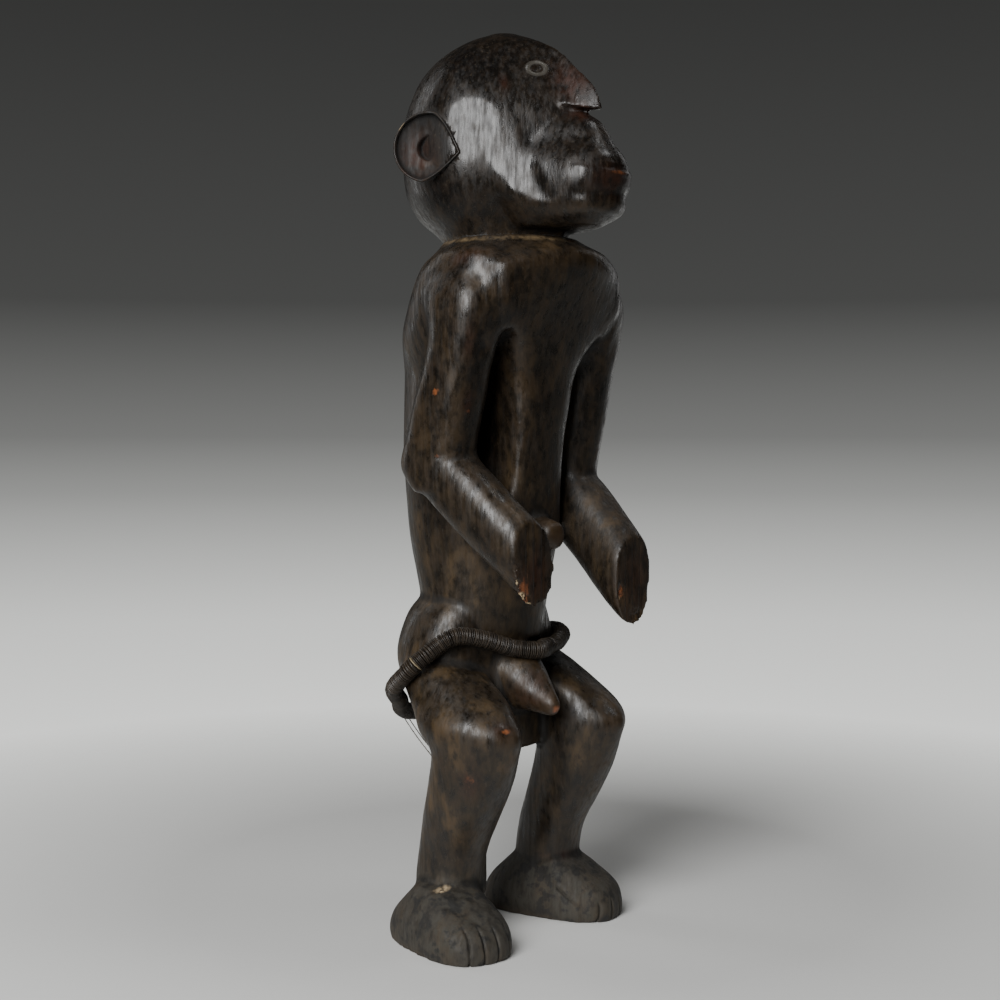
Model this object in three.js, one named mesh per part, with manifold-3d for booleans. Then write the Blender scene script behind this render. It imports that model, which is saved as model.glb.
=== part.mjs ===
// A standing monkey carved from one block of dark wood, with a string of disc beads slung round its hips.
// Millimetres, +Z up. The figure faces -Y, its left is +X, and it stands on Z = 0.
import * as THREE from "three";
import { ParametricGeometry } from "three/addons/geometries/ParametricGeometry.js";
import { mergeVertices } from "three/addons/utils/BufferGeometryUtils.js";
import Module from "manifold-3d";

const wasm = await Module();
wasm.setup();

// Driving dimensions
const SIDES = [-1, 1]; // the figure's right, then its left
const CENTRING = { x: 6.1, y: 8.7 }; // moves the whole group, so that its box is centred over the origin
const FACE_SLOPE = 0.9; // how fast each side of the face falls back from the middle line
const EDGE_SOFTNESS = 9; // higher makes the line between face and skull sharper
const FLANK_SLOPE = 2.1; // the same for the sides of the muzzle
const MUZZLE_MIDDLE = -42;
const MOUTH_HEIGHT = 574;
const MOUTH_FRONT = -125; // before the lips
const MOUTH_WIDTH = 80; // wider than the muzzle
const MOUTH_GAPE = 6;
const MOUTH_DEPTH = 33;
const NOSTRIL_RADIUS = 3.2;
const EYE_RADIUS = 6.6;
const EAR_SIZE = 26;
const EAR_TILT = 0.2; // how far the front point of an ear dips, in radians
const SHOULDER = 69; // middle plane to the middle of an upper arm
const RIGHT_HAND = 51; // middle plane to the middle of a hand
const LEFT_HAND = 62;
const LEFT_HOLLOW_OUT = 5; // the left armpit sits further out than the right one
const HAND_FRONT = -70; // the flat front of the fingers
const FINGER = 8.5;
const LOWER_ARM_DROP = 15; // the left arm hangs lower than the right one
const KNEE = 60; // middle plane to the tip of a knee
const RIGHT_SHIN = 54;
const LEFT_SHIN = 57;
const RIGHT_FOOT = { x: 69, y: 0, wide: 33.5, tall: 0.87 };
const LEFT_FOOT = { x: 58, y: 9, wide: 31, tall: 1 };
const FOOT_SPLAY = 13; // degrees
const TOE_GROOVES = [-16, -5, 7, 19]; // across the foot, from the outer side to the big toe
const BEAD_RADIUS = 7;
const BEAD_GROOVE = 1;
const BEAD_COUNT = 46; // runs of discs along the belt
const BELT_STEPS = 120;
// Belt heights at every sixteenth of the way round, from the back over the right hip and the front.
const BELT_HEIGHTS = [171, 165, 165, 175, 199, 229, 228, 221, 218, 217, 217, 222, 222, 200, 184, 175, 171];
const BELT_HANG = 15; // how far below the widest part of the buttocks the belt hangs
const HIP_MIDDLE = 32; // Y of the middle of the hips
const FAR = 200; // outside the hips on every side
const CLEARANCE = 0.4;
const STRING_DIAMETER = 0.8;
const OUTER_END = [
  [-40, 78, 157.5],
  [-38, 71, 148.5],
  [-35.5, 63, 139],
  [-33, 55, 130.3],
];
const INNER_END = [
  [-35, 79, 157.5],
  [-34, 71.5, 149.5],
  [-32.5, 63.5, 141],
  [-30.7, 55, 133.2],
];

// Sizes of a section, with the ones that most stations share.
// wide is half the width. front and back are the depths before and behind the middle.
// square is 2 for an ellipse and higher for flatter faces. point does the same for the front half alone.
// tilt is in degrees: at 0 the limb runs down, and at 90 it runs straight forward.
function station(x, y, z, sizes) {
  const square = sizes.square ?? 2.3;
  return { x, y, z, tilt: 0, front: sizes.wide, back: sizes.wide, square, point: square, ...sizes };
}

// Between two stations every size follows a Catmull-Rom curve.
function between(stations, share) {
  const place = share * (stations.length - 1);
  const i = Math.min(Math.floor(place), stations.length - 2);
  const t = place - i;
  const at = (k) => stations[THREE.MathUtils.clamp(k, 0, stations.length - 1)];
  const sizes = {};
  for (const key of Object.keys(at(i))) {
    const [a, b, c, d] = [at(i - 1)[key], at(i)[key], at(i + 1)[key], at(i + 2)[key]];
    const leave = (c - a) / 2;
    const arrive = (d - b) / 2;
    const bend = 3 * (c - b) - 2 * leave - arrive;
    const twist = 2 * (b - c) + leave + arrive;
    sizes[key] = b + t * (leave + t * (bend + t * twist));
  }
  return sizes;
}

// A skin over stations, closed at each end by a dome of the given height.
// edge(turn, sizes) gives a point of the section's outline.
function skin(stations, edge, { around = 20, along = 12, start = 0, end = 0, dome = 2 } = {}) {
  const stacks = along + 2 * dome;
  const surface = (u, v, target) => {
    const step = v * stacks - dome;
    const s = between(stations, THREE.MathUtils.clamp(step / along, 0, 1));
    const past = step < 0 ? step / dome : Math.max(0, step - along) / dome;
    const shrink = Math.cos((past * Math.PI) / 2);
    const reach = Math.sin((past * Math.PI) / 2) * (past < 0 ? start : end);
    const [px, py] = edge(u * 2 * Math.PI, s);
    const a = THREE.MathUtils.degToRad(s.tilt);
    target.set(
      s.x + px * shrink,
      s.y - py * shrink * Math.cos(a) - reach * Math.sin(a),
      s.z + py * shrink * Math.sin(a) - reach * Math.cos(a),
    );
  };
  return new ParametricGeometry(surface, around, stacks);
}

function rounded(turn, { wide, front, back, square, point }) {
  const c = Math.cos(turn);
  const s = Math.sin(turn);
  const power = 2 / (s > 0 ? point : square);
  return [wide * Math.sign(c) * Math.abs(c) ** power, (s > 0 ? front : -back) * Math.abs(s) ** power];
}

const limb = (stations, options) => skin(stations, rounded, options);

function solid(geometry) {
  const bare = new THREE.BufferGeometry().setIndex(geometry.index);
  bare.setAttribute("position", geometry.getAttribute("position"));
  const merged = mergeVertices(bare, 1e-3);
  const corners = Array.from(merged.index.array);
  const faces = [];
  for (let i = 0; i < corners.length; i += 3) {
    const [a, b, c] = corners.slice(i, i + 3);
    if (a !== b && b !== c && c !== a) faces.push(a, b, c);
  }
  const bodyOf = (triangles) =>
    new wasm.Manifold(
      new wasm.Mesh({
        numProp: 3,
        vertProperties: merged.attributes.position.array,
        triVerts: new Uint32Array(triangles),
      }),
    );
  const body = bodyOf(faces);
  return body.volume() > 0 ? body : bodyOf(faces.reverse());
}

function geometryOf(body) {
  const { vertProperties, triVerts } = body.getMesh();
  return new THREE.BufferGeometry()
    .setAttribute("position", new THREE.BufferAttribute(vertProperties, 3))
    .setIndex(new THREE.BufferAttribute(triVerts, 1));
}

// A round outline whose front is cut to a wedge. ridge is the Y of the line where the wedge's two sides meet,
// and slope says how fast they fall back from the middle line.
function wedged(turn, { y, wide, deep, ridge, slope }) {
  const c = Math.cos(turn);
  const s = Math.sin(turn);
  const round = 1 / Math.hypot(c / wide, s / deep);
  const lean = s + slope * Math.abs(c);
  const wedge = lean > 0.01 ? (y - ridge) / lean : Infinity;
  const reach = (round ** -EDGE_SOFTNESS + wedge ** -EDGE_SOFTNESS) ** (-1 / EDGE_SOFTNESS);
  return [reach * c, reach * s];
}

// Head: a round skull that widens down to the ears and draws in to the neck.
function head() {
  const level = (y, z, wide, deep, ridge) => ({ x: 0, y, z, tilt: 0, wide, deep, ridge, slope: FACE_SLOPE });
  const levels = [
    level(8, 686, 14, 14, -14),
    level(8, 681, 28, 29, -27),
    level(7, 672, 43, 49, -42),
    level(6, 659, 57, 65, -54),
    level(5, 644, 67, 75, -67),
    level(5, 622, 75, 82, -80),
    level(5, 600, 77, 84, -84),
    level(5, 580, 76, 83, -83),
    level(5, 563, 72, 81, -78),
    level(4, 547, 64, 72, -68),
    level(1, 535, 54, 60, -60),
    level(0, 525, 49, 50, -52),
  ];
  return solid(skin(levels, wedged, { around: 28, along: 13, start: 2, end: 2 }));
}

// The muzzle's flanks run back into the cheeks, and the mouth is a wedge cut between the parted lips.
// tip is the Y of its front, corner is how far from the middle line each flank starts, and wide is where
// the flanks end.
function muzzle() {
  const level = (z, tip, corner, wide) => ({
    x: 0,
    y: MUZZLE_MIDDLE,
    z,
    tilt: 0,
    wide,
    deep: MUZZLE_MIDDLE - tip,
    ridge: tip - FLANK_SLOPE * corner,
    slope: FLANK_SLOPE,
  });
  const levels = [
    level(618, -74, 7, 62),
    level(611, -86, 10, 60),
    level(604, -91, 12, 58),
    level(595, -95, 14, 55),
    level(585, -104, 17, 52),
    level(577, -109, 19, 50),
    level(569, -111, 21, 49),
    level(557, -107, 21, 47),
    level(548, -103, 20, 44),
    level(541, -95, 18, 38),
    level(536, -86, 14, 32),
  ];
  const snout = skin(levels, wedged, { around: 26, along: 11, start: 2, end: 2 });
  const slit = new THREE.Shape([
    new THREE.Vector2(MOUTH_FRONT, MOUTH_GAPE / 2),
    new THREE.Vector2(MOUTH_FRONT, -MOUTH_GAPE / 2),
    new THREE.Vector2(MOUTH_FRONT + MOUTH_DEPTH, 0),
  ]);
  const opening = new THREE.ExtrudeGeometry(slit, { depth: MOUTH_WIDTH, bevelEnabled: false });
  opening.translate(0, MOUTH_HEIGHT, -MOUTH_WIDTH / 2).rotateY(Math.PI / 2).rotateX(Math.PI / 2);
  return solid(snout).subtract(solid(opening));
}

// The nose is a tall wedge with a flat underside and two nostrils.
function nose() {
  const ridge = (y, z, wide, front, tilt = 0) =>
    station(0, y, z, { wide, front, back: 10, tilt, point: 1.05 });
  const wedge = limb(
    [
      ridge(-24, 678, 2, 4),
      ridge(-40, 668, 5, 8),
      ridge(-54, 651, 8, 13),
      ridge(-62, 637, 11, 20),
      ridge(-65, 624, 17, 26, -14),
    ],
    { around: 14, along: 8, start: 1, end: 1, dome: 1 },
  );
  const bore = new THREE.SphereGeometry(NOSTRIL_RADIUS, 8, 6).scale(1, 1.5, 1);
  const nostril = (side) => bore.clone().translate(side * 6, -75, 618);
  return SIDES.reduce((rest, side) => rest.subtract(solid(nostril(side))), solid(wedge));
}

// An eye is a ring cut round a low pupil on the side of the face.
function eyeRing(side) {
  const ring = new THREE.TorusGeometry(EYE_RADIUS, 1.3, 4, 16).scale(1, 1.15, 1);
  const look = new THREE.Vector3(side * 0.6, -0.66, 0.45).normalize();
  ring.applyQuaternion(new THREE.Quaternion().setFromUnitVectors(new THREE.Vector3(0, 0, 1), look));
  return solid(ring.translate(side * 19.5, -43, 653));
}

// A cup on a stem: profile pairs give the share of the outline's size and the depth along the cup's axis.
function ear(side) {
  const profile = [
    [0, -22],
    [0.5, -20],
    [0.82, -12],
    [1, 0],
    [0.93, 1],
    [0.8, -5],
    [0.36, -9],
    [0.28, -13],
    [0, -14],
  ];
  const surface = (u, v, target) => {
    const turn = u * 2 * Math.PI;
    const [share, depth] = profile[Math.round(v * (profile.length - 1))];
    const forward = Math.max(0, -Math.cos(turn));
    const rise = forward > 0 ? Math.sign(Math.sin(turn)) * (1 - forward ** 1.5) : Math.sin(turn);
    target.set(share * EAR_SIZE * Math.cos(turn), share * EAR_SIZE * rise, depth);
  };
  const cup = new ParametricGeometry(surface, 16, profile.length - 1).rotateZ(EAR_TILT);
  const backward = new THREE.Vector3(side * 0.471, 0.882, 0);
  const outward = new THREE.Vector3(side * 0.882, -0.471, 0);
  const up = new THREE.Vector3(0, 0, 1);
  cup.applyMatrix4(new THREE.Matrix4().makeBasis(backward, up, outward));
  return solid(cup.translate(side * 82, 9, 593));
}

// Torso: a rim under the head, round shoulders, and a chest that narrows to the waist.
function torso() {
  const level = (y, z, wide, front, back, square = 2.4, point = square, x = 0) =>
    station(x, y, z, { wide, front, back, square, point });
  return solid(
    limb(
      [
        level(0, 530, 50, 51, 52, 2),
        level(0, 526, 55, 56, 55, 2, 2, 1),
        level(-4, 518, 70, 65, 60, 2, 2, 3),
        level(-8, 508, 81, 63, 61, 2.2),
        level(-8, 495, 84, 58, 66, 2.4, 2.5),
        level(-5, 478, 83, 53, 70, 2.6, 3.3),
        level(2, 456, 77, 51, 76, 2.6, 3.3),
        level(10, 430, 67, 52, 76),
        level(17, 400, 64, 55, 71),
        level(24, 365, 62, 57, 64),
        level(28, 335, 60, 58, 57),
        level(30, 300, 56, 53, 52),
        level(31, 253, 50, 46, 42, 2.3),
        level(31, 225, 50, 42, 42, 2.2),
      ],
      { around: 24, along: 15 },
    ),
  );
}

// The hollow under each arm: it leaves a chest plate that narrows downwards.
function armpit(side) {
  const out = side > 0 ? LEFT_HOLLOW_OUT : 0;
  const level = (x, y, z, wide, front, back) =>
    station(side * (x + out), y, z, { wide, front, back, square: 2.6 });
  return solid(
    limb(
      [
        level(53, -34, 448, 13, 30, 34),
        level(54, -28, 428, 22, 30, 38),
        level(53, -20, 400, 26, 30, 38),
        level(50, -12, 370, 26, 30, 34),
        level(48, -8, 345, 24, 30, 26),
        level(54, -10, 318, 20, 30, 18),
      ],
      { around: 14, along: 7, start: 12, end: 10 },
    ),
  );
}

function navel() {
  const ring = (y, z, wide) => station(0, y, z, { wide, tilt: 88 });
  const rings = [ring(-16, 309, 15), ring(-32, 307, 13), ring(-43, 306, 11)];
  return solid(limb(rings, { around: 12, along: 3, end: 6 }));
}

// Hips, with the buttocks parted behind.
function pelvis() {
  const level = (y, z, wide, front, back) => station(0, y, z, { wide, front, back });
  const block = limb(
    [
      level(32, 256, 50, 38, 42),
      level(33, 243, 61, 38, 49),
      level(32, 215, 71, 36, 55),
      level(28, 190, 69, 34, 50),
      level(20, 165, 56, 30, 36),
      level(12, 142, 40, 22, 26),
    ],
    { around: 20, along: 6, start: 2, end: 4 },
  );
  const cleft = limb(
    [
      station(0, 92, 228, { wide: 1, front: 4, back: 10 }),
      station(0, 92, 200, { wide: 4, front: 9, back: 20 }),
      station(0, 80, 160, { wide: 5, front: 12, back: 30 }),
    ],
    { around: 6, along: 4, end: 8, dome: 1 },
  );
  return solid(block).subtract(solid(cleft));
}

// One stack from the buttock over the knee to the ankle. The front of the thigh slopes down to a ridged knee.
function leg(side) {
  const shin = side > 0 ? LEFT_SHIN : RIGHT_SHIN;
  const level = (x, y, z, sizes) => station(side * x, y, z, sizes);
  return solid(
    limb(
      [
        level(40, 34, 230, { wide: 20, front: 12, back: 28 }),
        level(46, 30, 214, { wide: 25, front: 17, back: 32 }),
        level(52, 24, 200, { wide: 29, front: 34, back: 31 }),
        level(55, 11, 186, { wide: 30, front: 44, back: 33 }),
        level(KNEE, -6, 171, { wide: 33, front: 47, back: 35, point: 1.8 }),
        level(KNEE, -13, 160, { wide: 33, front: 48, back: 38, point: 1.6 }),
        level(59, -14, 147, { wide: 31, front: 43, back: 27, point: 1.7 }),
        level(shin + 3, -10, 123, { wide: 30, front: 35, back: 29, point: 2 }),
        level(shin + 2, 1, 98, { wide: 27, front: 32, back: 26 }),
        level(shin, 11, 72, { wide: 24, front: 28, back: 24 }),
        level(shin, 14, 48, { wide: 24, front: 25, back: 25 }),
        level(shin, 14, 30, { wide: 24, front: 24, back: 24 }),
      ],
      { around: 16, along: 16, dome: 1 },
    ),
  );
}

// A domed foot with four grooves between the toes.
function foot(side) {
  const { x, y, wide, tall } = side > 0 ? LEFT_FOOT : RIGHT_FOOT;
  const level = (middle, z, share, front, back) =>
    station(0, middle, z * tall, { wide: wide * share, front, back, square: 2.4, point: 2.8 });
  const dome = limb(
    [
      level(9, 53, 0.6, 18, 16),
      level(5, 46, 0.72, 26, 26),
      level(2, 36, 0.86, 40, 40),
      level(0, 25, 0.96, 53, 53),
      level(0, 12, 1, 58, 60),
      level(0, 0, 0.98, 57, 60),
    ],
    { around: 22, along: 6, dome: 1 },
  );
  const groove = (across) => {
    const front = (depth) => -depth * (1 - Math.abs(across / wide) ** 2.8) ** (1 / 2.8);
    const cut = (depth, z) => station(across, front(depth), z, { wide: 0.9, front: 3, back: 2.4, square: 2 });
    return limb([cut(57, -3), cut(58, 12), cut(55, 24 * tall)], { around: 4, along: 3, dome: 1 });
  };
  const toes = TOE_GROOVES.map((across) => solid(groove(-side * across)));
  const whole = toes.reduce((rest, cut) => rest.subtract(cut), solid(dome));
  return whole.rotate([0, 0, side * FOOT_SPLAY]).translate([side * x, y, 0]);
}

// A squared upper arm, a squared forearm, and a flat hand with three grooves between the fingers.
function arm(side) {
  const drop = side > 0 ? LOWER_ARM_DROP : 0;
  const at = (x, y, z, sizes) => station(side * x, y, z, { square: 3, ...sizes });
  const upper = limb(
    [
      at(58, -12, 507, { wide: 23, front: 36, back: 34, square: 2.2 }),
      at(67, -16, 482, { wide: 25, front: 33, back: 31, square: 2.2 }),
      at(SHOULDER, -16, 456, { wide: 24, front: 27, back: 25, square: 2.3 }),
      at(SHOULDER, -9, 430 - drop / 3, { wide: 23, front: 25, back: 24, square: 2.5 }),
      at(SHOULDER, 0, 405 - drop / 2, { wide: 23, front: 28, back: 24 }),
      at(SHOULDER, 8, 380 - drop, { wide: 22, front: 29, back: 25 }),
      at(SHOULDER, 13, 358 - drop, { wide: 22, front: 30, back: 26 }),
      at(SHOULDER, 8, 341 - drop, { wide: 20, front: 24, back: 18 }),
    ],
    { around: 12, along: 12, start: 16, end: 4 },
  );
  const hand = side > 0 ? LEFT_HAND : RIGHT_HAND;
  const under = side > 0 ? 30 : 24; // the left forearm is the deeper one
  const fore = limb(
    [
      at(SHOULDER, 20, 370 - drop, { wide: 22, front: 16, back: 22, tilt: 47 }),
      at((2 * SHOULDER + hand) / 3 + 2, -10, 344 - drop, { wide: 22, front: 23, back: under, tilt: 47 }),
      at((SHOULDER + 2 * hand) / 3 + 2, -40, 316 - drop, { wide: 21, front: 23, back: under, tilt: 47 }),
      at(hand, -70, 288 - drop, { wide: 21, front: 22, back: under, tilt: 47, square: 2.3 }),
      at(hand, -92, 267 - drop, { wide: 20, front: 19, back: under - 3, tilt: 47, square: 2.3 }),
    ],
    { around: 12, along: 6, start: 4, end: 2 },
  );
  const front = new THREE.BoxGeometry(80, 60, 120).translate(side * hand, HAND_FRONT - 30, 280 - drop);
  const groove = (across) =>
    new THREE.BoxGeometry(1.2, 2, 70).translate(side * hand + across, HAND_FRONT, 282 - drop);
  const cuts = [front, ...[-FINGER, 0, FINGER].map(groove)].map(solid);
  return cuts.reduce((rest, cut) => rest.subtract(cut), solid(upper).add(solid(fore)));
}

function sheath() {
  const level = (y, z, wide, front, back) =>
    station(0, y, z, { wide, front, back, tilt: 62, square: 2.6, point: 1.5 });
  return solid(
    limb(
      [
        level(4, 209, 24, 20, 42),
        level(-13, 198, 21, 18, 30),
        level(-29, 186, 14, 13, 17),
        level(-44, 176, 6, 7, 8),
      ],
      { around: 12, along: 6, start: 2, end: 4 },
    ),
  );
}

// A strip that the carver left standing inside the right ankle.
function ankleStrip() {
  const level = (z, wide) => station(-34.5, 0, z, { wide, front: 5.5, back: 5 });
  return solid(limb([level(70, 1.5), level(60, 3), level(34, 3)], { around: 6, along: 2, dome: 1 }));
}

const onBothSides = (make) => SIDES.map(make);
const shell = [head(), muzzle(), nose(), navel(), pelvis(), sheath(), ankleStrip()];
const limbs = [leg, foot, arm, ear].flatMap(onBothSides);
const chest = onBothSides(armpit).reduce((rest, hollow) => rest.subtract(hollow), torso());
const whole = [...shell, ...limbs].reduce((sum, piece) => sum.add(piece), chest);
const figure = onBothSides(eyeRing).reduce((rest, ring) => rest.subtract(ring), whole);

// Belt: its height above the ground goes by the turn round the hips, which is 0 in front.
function beltHeight(turn) {
  const heights = BELT_HEIGHTS.map((z) => ({ z }));
  return between(heights, (turn / Math.PI + 1) / 2).z;
}

// At each turn round the hips the middle line is pushed out until its round section clears the wood.
// Behind, the belt hangs straight down from the widest part of the buttocks.
function beltLine(wood) {
  const caster = new THREE.Raycaster();
  const turns = Array.from({ length: BELT_STEPS }, (_, i) => ((2 * i) / BELT_STEPS - 1) * Math.PI);
  const at = (turn, reach, z) =>
    new THREE.Vector3(Math.sin(turn) * reach, HIP_MIDDLE - Math.cos(turn) * reach, z);
  const reaches = turns.map((turn) => {
    const hang = BELT_HANG * THREE.MathUtils.smoothstep(Math.abs(turn), Math.PI / 2, 0.75 * Math.PI);
    const inward = new THREE.Vector3(-Math.sin(turn), Math.cos(turn), 0);
    let reach = 0;
    for (let rise = -BEAD_RADIUS; rise <= BEAD_RADIUS + hang; rise += 1) {
      caster.set(at(turn, FAR, beltHeight(turn) + rise), inward);
      const [hit] = caster.intersectObject(wood);
      const off = rise > 0 ? Math.max(0, rise - hang) : rise;
      const bulge = Math.sqrt(Math.max(0, BEAD_RADIUS ** 2 - off ** 2));
      if (hit) reach = Math.max(reach, FAR - hit.distance + bulge);
    }
    return reach;
  });
  const near = (list, i) => [-1, 0, 1].map((k) => list[(i + k + BELT_STEPS) % BELT_STEPS]);
  const widest = reaches.map((_, i) => Math.max(...near(reaches, i)));
  const smooth = widest.map((_, i) => near(widest, i).reduce((sum, reach) => sum + reach) / 3);
  const points = turns.map((turn, i) => at(turn, smooth[i] + CLEARANCE, beltHeight(turn)));
  return new THREE.CatmullRomCurve3(points, true);
}

// Every second ring of the skin is drawn in, which parts the discs.
function beads(line) {
  const stacks = 2 * BEAD_COUNT;
  const frames = line.computeFrenetFrames(stacks, true);
  const surface = (u, v, target) => {
    const k = Math.round(v * stacks);
    const radius = k % 2 ? BEAD_RADIUS - BEAD_GROOVE : BEAD_RADIUS;
    const turn = u * 2 * Math.PI;
    target.copy(line.getPointAt((k % stacks) / stacks));
    target.addScaledVector(frames.normals[k % stacks], radius * Math.cos(turn));
    target.addScaledVector(frames.binormals[k % stacks], radius * Math.sin(turn));
  };
  return new ParametricGeometry(surface, 8, stacks);
}

function stringEnd(points) {
  const line = new THREE.CatmullRomCurve3(points.map((p) => new THREE.Vector3(...p)));
  const round = new THREE.Shape().absarc(0, 0, STRING_DIAMETER / 2, 0, 2 * Math.PI);
  const along = { extrudePath: line, steps: 24, curveSegments: 4, bevelEnabled: false };
  return new THREE.ExtrudeGeometry(round, along);
}

const part = new THREE.Group();
part.position.set(CENTRING.x, CENTRING.y, 0);

function place(name, geometry, material) {
  const mesh = new THREE.Mesh(geometry, new THREE.MeshStandardMaterial({ metalness: 0, ...material }));
  mesh.name = name;
  part.add(mesh);
  return mesh;
}

const WOOD = { color: 0x2a1c14, roughness: 0.35 };
const BEADS = { color: 0x3a3129, roughness: 0.45 };
const STRING = { color: 0x8d8474, roughness: 0.8 };

const carving = place("figure", geometryOf(figure), WOOD);
place("bead_belt", geometryOf(solid(beads(beltLine(carving)))), BEADS);
place("string_end_outer", stringEnd(OUTER_END), STRING);
place("string_end_inner", stringEnd(INNER_END), STRING);

export default part;
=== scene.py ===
import math

import bmesh
import bpy
import numpy as np
from mathutils import Matrix, Vector
from mathutils.bvhtree import BVHTree


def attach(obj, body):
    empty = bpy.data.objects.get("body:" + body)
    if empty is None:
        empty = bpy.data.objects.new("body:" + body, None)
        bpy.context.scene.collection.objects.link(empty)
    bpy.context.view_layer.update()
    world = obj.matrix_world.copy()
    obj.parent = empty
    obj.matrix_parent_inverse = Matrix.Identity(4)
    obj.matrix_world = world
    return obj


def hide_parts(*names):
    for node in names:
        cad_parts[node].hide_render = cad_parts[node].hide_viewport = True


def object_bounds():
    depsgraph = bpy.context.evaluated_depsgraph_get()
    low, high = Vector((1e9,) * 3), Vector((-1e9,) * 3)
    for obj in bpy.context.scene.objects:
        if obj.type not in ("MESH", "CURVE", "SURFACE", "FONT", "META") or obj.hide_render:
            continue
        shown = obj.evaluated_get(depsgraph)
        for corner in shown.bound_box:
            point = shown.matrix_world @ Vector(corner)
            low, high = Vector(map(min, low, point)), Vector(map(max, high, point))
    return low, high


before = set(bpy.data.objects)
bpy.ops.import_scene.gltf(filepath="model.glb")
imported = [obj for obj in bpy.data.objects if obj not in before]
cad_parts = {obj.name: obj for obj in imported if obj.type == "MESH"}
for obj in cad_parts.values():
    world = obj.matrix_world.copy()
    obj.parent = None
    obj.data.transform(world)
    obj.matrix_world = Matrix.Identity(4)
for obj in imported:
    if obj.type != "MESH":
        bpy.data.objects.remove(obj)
cad_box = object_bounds()
scene = bpy.context.scene


# Camera: it stands to the figure's front right, level with its belly, and looks slightly down.
CENTRING = np.array([6.1, 8.7, 0.0])  # millimetres, the shift that puts the figure's box over the origin
CAMERA_TURN = math.radians(-47)
CAMERA_AWAY = 1.28
CAMERA_HEIGHT = 0.378
SENSOR = 36  # millimetres across
PICTURE = 1000  # pixels across
FOCAL = 1660  # pixels
HORIZON = 60  # pixels from the picture's middle up to the level line
AXIS_ASIDE = 12  # pixels from the picture's middle to the figure's upright axis
CAMERA_DIP = math.atan(HORIZON / FOCAL)
CAMERA_SWING = math.atan(AXIS_ASIDE / FOCAL)

across = Vector((math.cos(CAMERA_TURN), math.sin(CAMERA_TURN), 0))
ahead = Vector((-math.sin(CAMERA_TURN), math.cos(CAMERA_TURN), 0))
level = ahead * math.cos(CAMERA_SWING) - across * math.sin(CAMERA_SWING)
right = across * math.cos(CAMERA_SWING) + ahead * math.sin(CAMERA_SWING)
look = level * math.cos(CAMERA_DIP) - Vector((0, 0, 1)) * math.sin(CAMERA_DIP)
up = right.cross(look)
camera_data = bpy.data.cameras.new("camera")
camera_data.sensor_width = SENSOR
camera_data.lens = FOCAL * SENSOR / PICTURE
camera = bpy.data.objects.new("camera", camera_data)
scene.collection.objects.link(camera)
turned = Matrix((right, up, -look)).transposed().to_4x4()
stand = Vector(CENTRING * 0.001) - ahead * CAMERA_AWAY + Vector((0, 0, CAMERA_HEIGHT))
camera.matrix_world = Matrix.Translation(stand) @ turned
scene.camera = camera


# String ends: the two bare ends of the belt's grey fibre string. They hang from its lowest point behind,
# stiff with age, a few millimetres apart.
STRING_DIAMETER = 0.0008
STRING_POINTS = 24
STRING_ENDS = {
    "string_end_outer": [(-40, 78, 157.5), (-38, 71, 148.5), (-35.5, 63, 139), (-33, 55, 130.3)],
    "string_end_inner": [(-35, 79, 157.5), (-34, 71.5, 149.5), (-32.5, 63.5, 141), (-30.7, 55, 133.2)],
}


def curve(rows, place):
    """The cubic that passes through each row, sloping there as from the row before to the row after.
    Place 0 is the second row, and place 1 the third.
    """
    i = np.minimum(place.astype(int), len(rows) - 4)
    t = (place - i)[:, None]
    a, b, c, d = (rows[i + k] for k in range(4))
    leave = (c - a) / 2
    arrive = (d - b) / 2
    return b + t * (leave + t * (3 * (c - b) - 2 * leave - arrive + t * (2 * (b - c) + leave + arrive)))


def smooth_path(points, count):
    """So many points along the curve through the given ones, straight on at both ends."""
    rows = np.vstack([2 * points[0] - points[1], points, 2 * points[-1] - points[-2]])
    return curve(rows, np.linspace(0, len(points) - 1, count))


def node(tree, kind, inputs=None, **settings):
    """Adds a node, sets its values, and links an input wherever another node's socket is given for it."""
    made = tree.nodes.new(kind)
    for key, value in settings.items():
        setattr(made, key, value)
    for key, value in (inputs or {}).items():
        if isinstance(value, bpy.types.NodeSocket):
            tree.links.new(value, made.inputs[key])
        else:
            made.inputs[key].default_value = value
    return made


def new_material(name):
    """A material with an empty node tree."""
    material = bpy.data.materials.new(name)
    material.use_nodes = True
    material.node_tree.nodes.clear()
    return material


def surface(tree, inputs):
    """The surface shader with its inputs, joined to the material's output."""
    shader = node(tree, "ShaderNodeBsdfPrincipled", inputs)
    node(tree, "ShaderNodeOutputMaterial", {"Surface": shader.outputs[0]})


def blend(tree, share, low, high):
    """A colour that goes from low to high as share goes from 0 to 1."""
    return node(tree, "ShaderNodeMix", {0: share, 6: low, 7: high}, data_type="RGBA").outputs[2]


def span(tree, value, low, high, out_low=0.0, out_high=1.0):
    """Value, stretched from low..high to out_low..out_high and kept inside."""
    inputs = {"Value": value, "From Min": low, "From Max": high}
    inputs |= {"To Min": out_low, "To Max": out_high}
    return node(tree, "ShaderNodeMapRange", inputs, clamp=True).outputs["Result"]


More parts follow.
